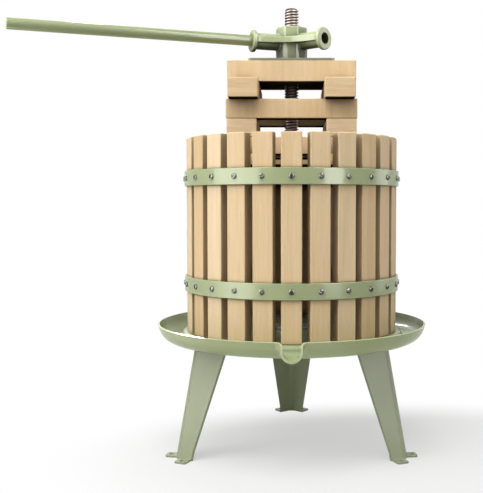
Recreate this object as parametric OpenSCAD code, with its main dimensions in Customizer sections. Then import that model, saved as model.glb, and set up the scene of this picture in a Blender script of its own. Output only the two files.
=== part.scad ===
// Basket fruit press with a slatted beech basket, a pressed steel juice tray on three legs, and a
// central lead screw. A cast nut with two bar sockets drives a stack of beech blocks down the screw.
// Millimetres. The origin is on the screw's axis at floor level, +Z up, and the spout points to -Y.

/* [Lead screw] */
// Diameter over the thread crests
screw_d = 20; // [16:0.5:26]
// Height of the screw's top end above the floor
screw_top_z = 627.5; // [615:0.5:660]
// Chamfer at both ends of the screw
screw_chamfer = 2; // [0.5:0.1:3]
// Length of screw left below the lower nut
screw_tail = 6; // [2:0.5:12]
// Radial clearance of the hole through the tray
tray_hole_clearance = 0.4; // [0.2:0.1:1]

/* [Screw fastening] */
// Width across the flats of the two fixing nuts
base_nut_af = 30; // [28:0.5:36]
// Thickness of each fixing nut
base_nut_t = 16; // [10:0.5:20]
// Outer diameter of the two large washers
base_washer_d = 60; // [44:1:80]
// Thickness of each large washer
base_washer_t = 4; // [2:0.5:6]
// Radial clearance between the screw and its nuts and washers
base_clearance = 0.1; // [0.05:0.05:0.4]

/* [Tray] */
// How far the rim stands out past the outer faces of the staves
tray_margin = 42.8; // [40:0.2:60]
// Thickness of the pressed sheet
sheet_t = 2.5; // [1.5:0.1:3]
// Height of the platform that carries the basket, above the floor
platform_z = 166.4; // [150:0.1:200]
// Depth of the juice channel below the platform
channel_depth = 11.2; // [8:0.2:14]
// Height of the rim above the platform
rim_rise = 10.4; // [5:0.1:16]
// Radius of the curve between the channel and the outer wall, outside the sheet
wall_curve_r = 24; // [18:0.5:26]
// Slope of the outer wall above that curve, from the horizontal
wall_slope = 72; // [60:1:80]
// Mid-sheet radius of the bend at the platform's edge
platform_bend_r = 6; // [5:0.2:7]
// Mid-sheet radius of the bend at the foot of the platform
channel_bend_r = 9; // [7:0.5:11]

/* [Spout] */
// Outer width of the pour spout
spout_w = 27.7; // [22:0.5:36]
// How far the spout's lower lip stands out past the rim
spout_overhang = 12.7; // [8:0.1:22]
// How far the top of the lip stands behind its bottom
spout_rake = 7.5; // [2:0.5:10]
// How far the spout's floor lies below the channel's floor
spout_drop = 0.5; // [0.3:0.1:1]
// How far the spout's top edge lies below the rim
spout_edge_drop = 0.3; // [0.2:0.1:1]
// Radius that blends the rim into the spout, seen from above
spout_blend_r = 10; // [5:0.5:14]

/* [Legs] */
// How far the top of a leg's spine stands inside the edge of the tray's flat platform
leg_inset = 4.2; // [4:0.1:12]
// How far a leg leans out between the tray and the floor
leg_splay = 31.1; // [15:0.1:45]
// Width of the flat spine between the two flanges
leg_spine_w = 10; // [6:0.5:16]
// Angle by which each flange is folded back from the spine
leg_fold = 38; // [30:0.5:50]
// Width of a flange at the foot
flange_foot_w = 18; // [14:0.5:26]
// Width of a flange at the top
flange_top_w = 44; // [40:0.2:50]
// Height of the straight stretch of flange above the foot
flange_straight_h = 10; // [4:0.5:20]
// Thickness of the leg's sheet
leg_sheet_t = 2.5; // [1.5:0.1:4]
// Outside radius of the folds
leg_bend_r = 4; // [3.9:0.1:5]
// Length of a foot tab, outside the flange
foot_tab_l = 16; // [12:0.5:24]
// Diameter of the screw hole in a foot tab
foot_hole_d = 6.5; // [4:0.5:8]
// Corner radius of the tabs
tab_corner_r = 3; // [1:0.5:5]
// Length of a top tab, inside the flange
top_tab_l = 17; // [15:0.5:19]
// Width of a top tab
top_tab_w = 18; // [15:0.5:22]
// Distance from the spine to the near side of a top tab
top_tab_offset = 18; // [17:0.5:20]

/* [Leg bolts] */
// Shank diameter of the bolts that fix the legs
leg_bolt_d = 6; // [4:0.5:8]
// Radial clearance of their holes
leg_bolt_clearance = 0.25; // [0.1:0.05:0.6]
// Diameter of the domed bolt heads
leg_bolt_head_d = 12; // [9:0.5:14]
// Height of the domed bolt heads
leg_bolt_head_h = 3.2; // [2:0.1:5]
// Width across the flats of the nuts
leg_nut_af = 10; // [9.5:0.5:13]
// Thickness of the nuts
leg_nut_t = 5; // [3:0.5:7]
// Length of thread that shows past a nut
leg_bolt_tail = 2; // [0.5:0.5:5]

/* [Basket] */
// Number of staves
stave_count = 25; // [20:1:26]
// Distance from the screw axis to a stave's outer face
basket_r = 150; // [147:0.2:151]
// Width of a stave
stave_w = 27.2; // [20:0.2:30]
// Thickness of a stave
stave_t = 16; // [12:0.5:16]
// Length of a stave
stave_l = 273; // [250:0.2:290]
// Chamfer on the edges of a stave
stave_chamfer = 1; // [0.4:0.1:2]

/* [Hoops] */
// Width of the steel hoops
hoop_w = 21.4; // [14:0.2:30]
// Thickness of the hoops
hoop_t = 3; // [2:0.1:4]
// Height of the lower hoop's middle above the foot of the staves
hoop_low_h = 68.5; // [40:0.5:100]
// Height of the upper hoop's middle above the foot of the staves
hoop_high_h = 216.4; // [170:0.1:235]
// Clearance between a hoop and the stave edges
hoop_clearance = 0.05; // [0.02:0.01:0.2]

/* [Hoop screws] */
// Head diameter of the screws
hoop_screw_head_d = 6.6; // [5:0.2:9]
// Head height
hoop_screw_head_h = 2.3; // [1.5:0.1:3.5]
// Radius on the edge of a head
hoop_screw_edge_r = 1.3; // [0.5:0.1:1.4]
// Shank diameter
hoop_screw_d = 3.4; // [2.5:0.1:4]
// Shank length under the head
hoop_screw_l = 15; // [8:0.5:17]
// Radial clearance of the holes
hoop_screw_clearance = 0.1; // [0.05:0.05:0.3]
// Clearance past the tip of a screw
hoop_screw_tip_clearance = 0.5; // [0.2:0.1:1]

/* [Press blocks] */
// Height of the underside of the press discs above the floor, at rest
press_z = 373.5; // [372:0.5:380]
// Clearance between the half discs and the inner faces of the staves
disc_clearance = 4.5; // [2:0.5:10]
// Thickness of the half discs
disc_t = 25; // [18:0.5:30]
// Gap between the half discs
disc_gap = 2; // [1:0.5:5]
// Length of the boards, left to right
board_l = 179; // [160:1:184]
// Width of each of the boards, which lie in pairs, one in front of the screw and one behind it
board_w = 27; // [20:0.5:32]
// How far the lower and middle side blocks stand back from the ends of the boards
block_setback = 1; // [0.5:0.5:8]
// How far the upper side blocks stand back from the ends of the top beam
top_block_setback = 3.5; // [0.5:0.5:8]
// Width of the side blocks
block_w = 41; // [30:0.5:46]
// Thickness of the lowest pair of blocks
low_block_t = 16; // [12:0.5:22]
// Depth of the lowest pair of blocks, front to back
low_block_d = 176; // [150:1:184]
// Thickness of the lower boards
low_board_t = 24; // [18:0.5:30]
// Distance over the pair of lower boards, front to back
low_board_d = 140; // [120:1:190]
// Thickness of the middle pair of blocks
mid_block_t = 24.9; // [18:0.1:30]
// Depth of the middle pair of blocks
mid_block_d = 140; // [120:1:190]
// Thickness of the middle boards
mid_board_t = 26.7; // [20:0.1:32]
// Distance over the pair of middle boards, front to back
mid_board_d = 140; // [120:1:190]
// Thickness of the upper pair of blocks
top_block_t = 26.5; // [20:0.1:32]
// Depth of the upper pair of blocks
top_block_d = 176; // [150:1:192]
// Thickness of the top beam
top_beam_t = 29.2; // [22:0.2:34]
// Depth of the top beam
top_beam_d = 90; // [70:1:130]
// Chamfer on the edges of the blocks
block_chamfer = 1.2; // [0.5:0.1:2.5]
// Radial clearance of the screw through the wood
wood_clearance = 2; // [1:0.5:4]

/* [Pressure plate] */
// Length of the steel plate, left to right
plate_l = 120; // [90:1:150]
// Depth of the steel plate, front to back
plate_d = 90; // [70:1:120]
// Thickness of the steel plate
plate_t = 3.2; // [2:0.1:6]
// Corner radius of the steel plate
plate_corner_r = 4; // [1:0.5:10]
// Radial clearance of the screw through the plate
plate_clearance = 0.6; // [0.4:0.1:1.5]

/* [Press nut] */
// Running clearance between the nut and the screw, on the radius
nut_clearance = 0.06; // [0.02:0.01:0.1]
// Width across the flats of the octagonal hub at its foot
hub_foot_af = 43.5; // [40:0.5:50]
// Width across the flats of the hub at its top
hub_top_af = 46; // [40:0.5:52]
// Radius that rounds the corners of the hub and the collar, as a share of half the width across flats
corner_share = 1.045; // [1.02:0.005:1.08]
// Height of the whole casting
nut_h = 49; // [46:0.5:60]
// Height of the lower hub
hub_h = 24; // [20:0.5:30]
// Radius of the round middle of the hub
hub_waist_r = 21; // [18:0.5:23]
// Width across the flats of the octagonal collar
collar_af = 44; // [40:0.5:50]
// Height of the upper collar
collar_h = 12; // [8:0.5:16]
// Height of the sockets' axis above the foot of the casting
arm_z = 27.8; // [26:0.1:33]
// Direction of the left socket, seen from above
left_arm_angle = 200.5; // [185:0.5:215]
// Direction of the right socket, seen from above
right_arm_angle = 319.5; // [300:0.5:340]
// Outer radius of the socket tubes
arm_r = 11.6; // [10:0.1:13]
// Distance from the screw axis to the mouth of a socket
arm_reach = 61; // [50:0.5:75]
// Radius of the collar round a socket's mouth
mouth_r = 15.6; // [14:0.1:18]
// Width of the collar round a socket's mouth
mouth_w = 5.5; // [3:0.5:8]
// Chamfer on the top of the upper collar
collar_chamfer = 1.5; // [0.5:0.1:3]
// Radius on the edges of the collar round a socket's mouth
mouth_edge_r = 1.2; // [0.5:0.1:2]
// Distance from the screw axis to the blind end of a socket
socket_floor_r = 25; // [23:0.5:30]
// Thickness of the web between the sockets
web_t = 8.5; // [6:0.5:12]
// Height of the web's underside above the foot of the casting
web_z = 24.5; // [22:0.5:31]
// Distance from the screw axis to the middle of the web's edge
web_reach = 29; // [26:0.5:32]
// Distance from a socket's axis to the web's edge beside it
web_side = 14; // [12:0.5:15]

/* [Handle bar] */
// Radius of the bar
bar_r = 7.5; // [6:0.1:8.5]
// Radial clearance of the bar in its socket
bar_clearance = 0.5; // [0.2:0.05:1]
// Distance from the screw axis to the bar's outer end
bar_reach = 388; // [300:1:450]
// Chamfer at the ends of the bar
bar_chamfer = 0.8; // [0.4:0.1:2]
// Gap between the bar and the blind end of its socket
bar_end_gap = 0.5; // [0.2:0.1:2]

/* [Hidden] */
// Segments of a full turn in round solids and in drawn arcs
$fn = 64;
arc_steps = 8;
// How far a cut or a joined form reaches past the surface that it meets
overlap = 1;

green = [0.66, 0.71, 0.56];
beech = [0.90, 0.78, 0.60];
zinc = [0.72, 0.72, 0.70];
screw_grey = [0.60, 0.57, 0.53];

// Radii of the basket
stave_inner_r = basket_r - stave_t;
disc_r = stave_inner_r - disc_clearance;

// Radii and heights of the tray, worked out from the basket and up from the platform
rim_r = basket_r + tray_margin;
spout_reach = rim_r + spout_overhang;
platform_under_z = platform_z - sheet_t;
channel_z = platform_z - channel_depth;
tray_bottom_z = channel_z - sheet_t;
rim_z = platform_z + rim_rise;

// The rim's outer edge is rounded over half the sheet's thickness, and its inner edge is chamfered
rim_edge_centre = [rim_r - sheet_t / 2, rim_z - sheet_t / 2];
rim_edge_foot = rim_edge_centre + sheet_t / 2 * [sin(wall_slope), -cos(wall_slope)];
rim_chamfer = sheet_t / 5;

// The outer wall is an arc from the channel and then a straight flare up to the rim
wall_centre_z = tray_bottom_z + wall_curve_r;
wall_flare_h = rim_edge_foot[1] - wall_centre_z + wall_curve_r * cos(wall_slope);
wall_centre_r = rim_edge_foot[0] - wall_flare_h / tan(wall_slope) - wall_curve_r * sin(wall_slope);

// The platform's edge is an S of two bends whose radii share the channel's depth
edge_turn = acos(1 - channel_depth / (platform_bend_r + channel_bend_r));
channel_flat = 1;
channel_inner_r = wall_centre_r - channel_flat;
platform_flat_r = channel_inner_r - (platform_bend_r + channel_bend_r) * sin(edge_turn);

// The spout starts on the flat of the channel. Its blend with the wall is narrow at the floor and
// opens with height, and the blend's circle bites into the wall so that the two surfaces cross.
spout_start_r = wall_centre_r - 0.8 * channel_flat;
blend_least_r = 0.6;
blend_gain = 0.8;
blend_bite = 0.06;

// Legs
leg_top_r = platform_flat_r - leg_inset;
leg_foot_r = leg_top_r + leg_splay;
leg_lean = atan(leg_splay / platform_under_z);
leg_trim = 20;
leg_angles = [90, 210, 330];
leg_names = ["leg_rear", "leg_front_left", "leg_front_right"];
top_tab_hole = [top_tab_offset + top_tab_w / 2, -leg_sheet_t - (top_tab_l - leg_sheet_t) / 2];
foot_tab_hole = [flange_foot_w / 2 + overlap / 2, foot_tab_l / 2 + overlap];
leg_bolt_hole_r = leg_bolt_d / 2 + leg_bolt_clearance;

// Basket
stave_names = [for (i = [1:stave_count]) str("stave_", i < 10 ? "0" : "", i)];
stave_step = 360 / stave_count;
stave_half_face = stave_w / 2 - stave_chamfer;
hoop_inner_r = norm([basket_r, stave_half_face]) + hoop_clearance;
hoop_outer_r = hoop_inner_r + hoop_t;
hoop_heights = [hoop_low_h, hoop_high_h];

// Heights of the press stack, worked up from the discs
low_block_z = press_z + disc_t;
low_board_z = low_block_z + low_block_t;
mid_block_z = low_board_z + low_board_t;
mid_board_z = mid_block_z + mid_block_t;
top_block_z = mid_board_z + mid_board_t;
top_beam_z = top_block_z + top_block_t;
plate_z = top_beam_z + top_beam_t;
nut_z = plate_z + plate_t;
wood_hole_r = screw_d / 2 + wood_clearance;

// The sockets are bored for the bar, and the web's edge is an arc that ends parallel to each
socket_r = bar_r + bar_clearance;
arm_spread = (right_arm_angle - left_arm_angle) / 2;
arm_middle_angle = (right_arm_angle + left_arm_angle) / 2;
web_arc_r = (web_reach - web_side / sin(arm_spread)) / (1 / sin(arm_spread) - 1);
web_arc_centre = (web_side + web_arc_r) / sin(arm_spread);
web_tangent = (web_side + web_arc_r) / tan(arm_spread);

// Points of an arc about a centre, from one angle to another
function arc(centre, r, from, to, steps = arc_steps) =
    [for (i = [0:steps]) centre + r * [cos(from + (to - from) * i / steps),
                                       sin(from + (to - from) * i / steps)]];

function mirrored(points) = [for (i = [len(points) - 1:-1:0]) [-points[i][0], points[i][1]]];

// A rectangle centred on the origin with its corners cut off
module chamfered_rectangle(size, c) {
    x = size[0] / 2;
    y = size[1] / 2;
    polygon([[-x + c, -y], [x - c, -y], [x, -y + c], [x, y - c],
             [x - c, y], [-x + c, y], [-x, y - c], [-x, -y + c]]);
}

// A block with chamfers on all twelve edges, centred in X and Y, standing on z = 0
module chamfered_block(size, c) {
    translate([0, 0, size[2] / 2]) intersection() {
        translate([0, 0, -size[2] / 2]) linear_extrude(size[2])
            chamfered_rectangle([size[0], size[1]], c);
        rotate([90, 0, 0]) translate([0, 0, -size[1] / 2]) linear_extrude(size[1])
            chamfered_rectangle([size[0], size[2]], c);
        rotate([90, 0, 90]) translate([0, 0, -size[0] / 2]) linear_extrude(size[0])
            chamfered_rectangle([size[1], size[2]], c);
    }
}

// A rectangle with round corners, from one corner point to the other
module rounded_rectangle(low, high, r) {
    difference() {
        translate(low) square(high - low);
        for (x = [0, 1], y = [0, 1]) {
            corner = [x ? high[0] : low[0], y ? high[1] : low[1]];
            inward = [x ? -1 : 1, y ? -1 : 1];
            difference() {
                translate(corner + inward * r / 2) square(r, center = true);
                translate(corner + inward * r) circle(r);
            }
        }
    }
}

// A hexagon nut or bolt head with its corners turned off at one or both ends
module hexagon(af, h, hole_r) {
    difference() {
        intersection() {
            cylinder(h = h, r = af / 2 / cos(30), $fn = 6);
            union() {
                cylinder(h = h / 2, r1 = af / 2, r2 = af / 2 + h);
                translate([0, 0, h / 2]) cylinder(h = h / 2, r1 = af / 2 + h, r2 = af / 2);
            }
        }
        translate([0, 0, -overlap]) cylinder(h = h + 2 * overlap, r = hole_r);
    }
}

// Radius of the tray's outer wall at a height, with the sheet's inner side given by inset
function wall_r(z, inset = 0) =
    let (r = wall_curve_r - inset)
    z < wall_centre_z - r * cos(wall_slope)
        ? wall_centre_r + sqrt(max(0, r * r - pow(wall_centre_z - z, 2)))
        : rim_edge_foot[0] + (z - rim_edge_foot[1]) / tan(wall_slope) - inset / sin(wall_slope);

// Underside of the sheet, from the screw hole out to the rim
function under_profile() = concat(
    [[0, platform_under_z]],
    arc([platform_flat_r, platform_z - sheet_t / 2 - platform_bend_r],
        platform_bend_r - sheet_t / 2, 90, 90 - edge_turn),
    arc([channel_inner_r, tray_bottom_z + sheet_t / 2 + channel_bend_r],
        channel_bend_r + sheet_t / 2, 270 - edge_turn, 270),
    arc([wall_centre_r, wall_centre_z], wall_curve_r, 270, 270 + wall_slope, 2 * arc_steps));

// Upper side of the sheet, from the rim in to the screw hole
function upper_profile() = concat(
    arc([wall_centre_r, wall_centre_z], wall_curve_r - sheet_t, 270 + wall_slope, 270,
        2 * arc_steps),
    arc([channel_inner_r, tray_bottom_z + sheet_t / 2 + channel_bend_r],
        channel_bend_r - sheet_t / 2, 270, 270 - edge_turn),
    arc([platform_flat_r, platform_z - sheet_t / 2 - platform_bend_r],
        platform_bend_r + sheet_t / 2, 90 - edge_turn, 90),
    [[0, platform_z]]);

// The tray's outside up to the rim, filled to a level between the platform and the rim
module tray_blank() {
    fill_r = wall_r(rim_z, sheet_t) - rim_rise / 2;
    rotate_extrude() polygon(concat(
        under_profile(), arc(rim_edge_centre, sheet_t / 2, wall_slope - 90, 90, 4),
        [[fill_r, rim_z], [fill_r - rim_rise / 2, rim_z - rim_rise / 2], [0, rim_z - rim_rise / 2]]));
}

// The space above the sheet, inside the wall
module tray_hollow() {
    edge = [wall_r(rim_z - rim_chamfer, sheet_t), rim_z - rim_chamfer];
    reach = rim_chamfer + overlap;
    rotate_extrude() polygon(concat(
        upper_profile(), [[0, rim_z + overlap], edge + [reach, reach], edge]));
}

// One level of the spout, a tongue with a round bottom that blends into the tray's wall.
// side is 0 outside the sheet and sheet_t inside it, and half is the spout's half width there.
function spout_level(z, half, side) =
    let (wall = wall_r(z, side),
         floor_z = tray_bottom_z - spout_drop + side,
         blend = min(spout_blend_r + side, blend_least_r + blend_gain * (z - floor_z)),
         lip = spout_reach - spout_rake * (z - floor_z) / (rim_z - floor_z)
               + (side > 0 ? sheet_t + overlap : 0),
         centre_x = half + blend,
         centre_y = sqrt(pow(wall + blend * (1 - blend_bite), 2) - pow(centre_x, 2)),
         swing = atan(centre_x / centre_y),
         right = concat(
             [[0, -spout_start_r], spout_start_r * [sin(swing), -cos(swing)]],
             arc([centre_x, -centre_y], blend, 90 + swing, 180, 6),
             [[half, -lip]]),
         left = [for (i = [len(right) - 1:-1:1]) [-right[i][0], right[i][1]]])
    [for (p = concat(right, left)) [p[0], max(p[1], -lip), z]];

// The spout's solid form: the rings of its round bottom, and then its upright sides
module spout_form(side, top) {
    r = spout_w / 2 - side;
    bottom = tray_bottom_z - spout_drop + side;
    levels = concat(
        [for (t = [8:12:80]) [bottom + r * (1 - cos(t)), r * sin(t)]],
        [for (i = [0:3]) [bottom + r + (top - bottom - r) * i / 3, r]]);
    rings = [for (level = levels) spout_level(level[0], level[1], side)];
    n = len(rings[0]);
    last = (len(rings) - 1) * n;
    polyhedron([for (ring = rings) each ring], concat(
        [[for (i = [n - 1:-1:0]) i]],
        [for (k = [0:len(rings) - 2], i = [0:n - 1])
            each [[k * n + i, (k + 1) * n + (i + 1) % n, (k + 1) * n + i],
                  [k * n + i, k * n + (i + 1) % n, (k + 1) * n + (i + 1) % n]]],
        [[for (i = [0:n - 1]) last + i]]));
}

module tray() {
    color(green) difference() {
        union() {
            tray_blank();
            spout_form(0, rim_z - spout_edge_drop);
        }
        tray_hollow();
        spout_form(sheet_t, rim_z + 2 * overlap);
        translate([0, 0, platform_under_z - overlap])
            cylinder(h = sheet_t + 2 * overlap, r = screw_d / 2 + tray_hole_clearance);
        at_leg_bolts() translate([0, 0, platform_under_z - overlap])
            cylinder(h = sheet_t + 2 * overlap, r = leg_bolt_hole_r);
    }
}

// Places its children at each leg, with +Y pointing away from the screw axis
module at_leg(i) {
    rotate(leg_angles[i] - 90) children();
}

// The plan frame of one flange: +X runs in along the flange and +Y out of its face
module in_flange(side, spine_r) {
    mirror([side < 0 ? 1 : 0, 0, 0]) translate([leg_spine_w / 2, spine_r, 0]) rotate(-leg_fold)
        children();
}

module at_leg_bolts() {
    for (i = [0:len(leg_names) - 1]) at_leg(i)
        for (side = [-1, 1]) in_flange(side, leg_top_r)
            translate([top_tab_hole[0], top_tab_hole[1], 0]) children();
}

// Section across a leg: a flat spine with a flange folded back on each side
module leg_section() {
    along = [cos(leg_fold), -sin(leg_fold)];
    into = [-sin(leg_fold), -cos(leg_fold)];
    tip = [leg_spine_w / 2, 0] + (flange_top_w + leg_trim) * along;
    bend = [leg_spine_w / 2 - leg_bend_r * tan(leg_fold / 2), -leg_bend_r];
    half = concat(arc(bend, leg_bend_r, 90, 90 - leg_fold, 4), [tip, tip + leg_sheet_t * into],
                  arc(bend, leg_bend_r - leg_sheet_t, 90 - leg_fold, 90, 4));
    polygon(concat(half, mirrored(half)));
}

// Outline of a leg seen from outside, which trims the flanges to their taper
module leg_outline() {
    foot = leg_spine_w / 2 + flange_foot_w * cos(leg_fold);
    top = leg_spine_w / 2 + flange_top_w * cos(leg_fold);
    right = [[foot, 0], [foot, flange_straight_h], [top, platform_under_z]];
    polygon(concat(right, mirrored(right)));
}

module foot_tab() {
    linear_extrude(leg_sheet_t) difference() {
        rounded_rectangle([overlap, -leg_sheet_t], [flange_foot_w, foot_tab_l], tab_corner_r);
        translate(foot_tab_hole) circle(foot_hole_d / 2);
    }
}

module top_tab() {
    linear_extrude(leg_sheet_t) difference() {
        rounded_rectangle([top_tab_offset, -top_tab_l], [top_tab_offset + top_tab_w, 0],
                          tab_corner_r);
        translate(top_tab_hole) circle(leg_bolt_hole_r);
    }
}

module leg(i) {
    color(green) at_leg(i) {
        intersection() {
            translate([0, leg_foot_r, 0]) rotate([leg_lean, 0, 0])
                translate([0, 0, -leg_trim])
                    linear_extrude(platform_under_z / cos(leg_lean) + 2 * leg_trim) leg_section();
            translate([0, leg_foot_r + leg_trim, 0]) rotate([90, 0, 0])
                linear_extrude(leg_splay + flange_top_w + 2 * leg_trim) leg_outline();
        }
        for (side = [-1, 1]) {
            in_flange(side, leg_foot_r) foot_tab();
            in_flange(side, leg_top_r) translate([0, 0, platform_under_z - leg_sheet_t]) top_tab();
        }
    }
}

module leg_bolts() {
    shank_l = sheet_t + leg_sheet_t + leg_nut_t + leg_bolt_tail;
    dome_r = (pow(leg_bolt_head_d / 2, 2) + pow(leg_bolt_head_h, 2)) / (2 * leg_bolt_head_h);
    dome_angle = asin(leg_bolt_head_d / 2 / dome_r);
    color(zinc) at_leg_bolts() translate([0, 0, platform_z]) rotate_extrude() polygon(concat(
        [[0, -shank_l], [leg_bolt_d / 2, -shank_l], [leg_bolt_d / 2, 0]],
        arc([0, leg_bolt_head_h - dome_r], dome_r, 90 - dome_angle, 90)));
}

module leg_nuts() {
    color(zinc) at_leg_bolts() translate([0, 0, platform_under_z - leg_sheet_t - leg_nut_t])
        hexagon(leg_nut_af, leg_nut_t, leg_bolt_d / 2 + base_clearance);
}

module main_screw() {
    bottom = platform_under_z - base_washer_t - base_nut_t - screw_tail;
    r = screw_d / 2;
    color(screw_grey) rotate_extrude() polygon([
        [0, bottom], [r - screw_chamfer, bottom], [r, bottom + screw_chamfer],
        [r, screw_top_z - screw_chamfer], [r - screw_chamfer, screw_top_z], [0, screw_top_z]]);
}

module base_washer(z) {
    color(zinc) translate([0, 0, z]) difference() {
        cylinder(h = base_washer_t, r = base_washer_d / 2);
        translate([0, 0, -overlap])
            cylinder(h = base_washer_t + 2 * overlap, r = screw_d / 2 + base_clearance);
    }
}

module base_nut(z) {
    color(zinc) translate([0, 0, z])
        hexagon(base_nut_af, base_nut_t, screw_d / 2 + base_clearance);
}

// A stave in its own frame, its outer face at x = basket_r, with a pilot hole behind each hoop
module stave(i) {
    color(beech) rotate(i * stave_step - 90) difference() {
        translate([basket_r - stave_t / 2, 0, platform_z])
            chamfered_block([stave_t, stave_w, stave_l], stave_chamfer);
        for (h = hoop_heights) translate([basket_r + overlap, 0, platform_z + h])
            rotate([0, -90, 0]) cylinder(
                h = overlap + hoop_screw_l - (hoop_outer_r - basket_r) + hoop_screw_tip_clearance,
                r = hoop_screw_d / 2 + hoop_screw_clearance);
    }
}

module hoop(h) {
    color(green) translate([0, 0, platform_z + h]) difference() {
        translate([0, 0, -hoop_w / 2]) cylinder(h = hoop_w, r = hoop_outer_r);
        translate([0, 0, -hoop_w / 2 - overlap]) cylinder(h = hoop_w + 2 * overlap, r = hoop_inner_r);
        for (i = [0:stave_count - 1]) rotate([0, 90, i * stave_step - 90])
            translate([0, 0, hoop_inner_r - overlap]) cylinder(
                h = hoop_t + 2 * overlap, r = hoop_screw_d / 2 + hoop_screw_clearance);
    }
}

module hoop_screws(h) {
    head = hoop_screw_head_d / 2;
    for (i = [0:stave_count - 1]) color(zinc) rotate([0, 90, i * stave_step - 90])
        translate([-platform_z - h, 0, hoop_outer_r]) rotate_extrude() polygon(concat(
            [[0, -hoop_screw_l], [hoop_screw_d / 2, -hoop_screw_l + hoop_screw_d / 2],
             [hoop_screw_d / 2, 0], [head, 0]],
            arc([head, hoop_screw_head_h] - hoop_screw_edge_r * [1, 1], hoop_screw_edge_r, 0, 90, 4),
            [[0, hoop_screw_head_h]]));
}

// Half a disc with a half hole for the screw, with its straight edge towards the other half
module press_disc(side) {
    color(beech) translate([0, 0, press_z]) difference() {
        union() {
            cylinder(h = block_chamfer, r1 = disc_r - block_chamfer, r2 = disc_r);
            translate([0, 0, block_chamfer]) cylinder(h = disc_t - 2 * block_chamfer, r = disc_r);
            translate([0, 0, disc_t - block_chamfer])
                cylinder(h = block_chamfer, r1 = disc_r, r2 = disc_r - block_chamfer);
        }
        translate([-2 * disc_r, side > 0 ? -2 * disc_r + disc_gap / 2 : -disc_gap / 2, -overlap])
            cube([4 * disc_r, 2 * disc_r, disc_t + 2 * overlap]);
        translate([0, 0, -overlap]) cylinder(h = disc_t + 2 * overlap, r = wood_hole_r);
    }
}

// A block that runs front to back, left or right of the screw
module side_block(side, z, depth, t, setback) {
    color(beech) translate([side * (board_l / 2 - setback - block_w / 2), 0, z])
        chamfered_block([block_w, depth, t], block_chamfer);
}

// A board that runs left to right, in front of the screw or behind it
module board(side, z, depth, t) {
    color(beech) translate([0, side * (depth - board_w) / 2, z])
        chamfered_block([board_l, board_w, t], block_chamfer);
}

module top_beam() {
    color(beech) translate([0, 0, top_beam_z]) difference() {
        chamfered_block([board_l, top_beam_d, top_beam_t], block_chamfer);
        translate([0, 0, -overlap]) cylinder(h = top_beam_t + 2 * overlap, r = wood_hole_r);
    }
}

module pressure_plate() {
    color(green) translate([0, 0, plate_z]) linear_extrude(plate_t) difference() {
        rounded_rectangle([-plate_l / 2, -plate_d / 2], [plate_l / 2, plate_d / 2], plate_corner_r);
        circle(screw_d / 2 + plate_clearance);
    }
}

// A socket tube with the collar round its mouth, drawn along +Z from the screw axis
module socket_arm() {
    edge_x = mouth_r - mouth_edge_r;
    back = arm_reach - mouth_w;
    rotate_extrude() polygon(concat(
        [[0, 0], [arm_r, 0], [arm_r, back - mouth_edge_r]],
        arc([edge_x, back + mouth_edge_r], mouth_edge_r, -90, 0, 4),
        arc([edge_x, arm_reach - mouth_edge_r], mouth_edge_r, 0, 90, 4),
        [[0, arm_reach]]));
}

module at_arm(angle) {
    translate([0, 0, nut_z + arm_z]) rotate([0, 90, angle]) children();
}

// The web between the sockets in plan, its long shallow edge drawn finer than the round solids
module socket_web() {
    end = web_tangent * [cos(arm_spread), sin(arm_spread)];
    edge = end + web_side * [sin(arm_spread), -cos(arm_spread)];
    rotate(arm_middle_angle) difference() {
        polygon([[0, 0], end, edge, [edge[0], -edge[1]], [end[0], -end[1]]]);
        translate([web_arc_centre, 0]) circle(web_arc_r, $fn = 3 * $fn);
    }
}

// An octagon with a flat side in front, its corners turned to a cone
module rounded_octagon(h, foot_af, top_af) {
    intersection() {
        rotate(22.5) cylinder(h = h, r1 = foot_af / 2 / cos(22.5), r2 = top_af / 2 / cos(22.5), $fn = 8);
        cylinder(h = h, r1 = corner_share * foot_af / 2, r2 = corner_share * top_af / 2);
    }
}

module press_nut() {
    color(green) difference() {
        union() {
            translate([0, 0, nut_z]) rounded_octagon(hub_h, hub_foot_af, hub_top_af);
            translate([0, 0, nut_z + hub_h - overlap])
                cylinder(h = nut_h - hub_h - collar_h + 2 * overlap, r = hub_waist_r);
            translate([0, 0, nut_z + nut_h - collar_h]) intersection() {
                rounded_octagon(collar_h, collar_af, collar_af);
                cylinder(h = collar_h, r1 = collar_af / 2 + collar_h - collar_chamfer,
                         r2 = collar_af / 2 - collar_chamfer);
            }
            translate([0, 0, nut_z + web_z]) linear_extrude(web_t) socket_web();
            for (angle = [left_arm_angle, right_arm_angle]) at_arm(angle) socket_arm();
        }
        translate([0, 0, nut_z - overlap])
            cylinder(h = nut_h + 2 * overlap, r = screw_d / 2 + nut_clearance);
        for (angle = [left_arm_angle, right_arm_angle]) at_arm(angle)
            translate([0, 0, socket_floor_r])
                cylinder(h = arm_reach - socket_floor_r + overlap, r = socket_r);
    }
}

module handle_bar() {
    start = socket_floor_r + bar_end_gap;
    color(green) at_arm(left_arm_angle) rotate_extrude() polygon([
        [0, start], [bar_r - bar_chamfer, start], [bar_r, start + bar_chamfer],
        [bar_r, bar_reach - bar_chamfer], [bar_r - bar_chamfer, bar_reach], [0, bar_reach]]);
}

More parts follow.
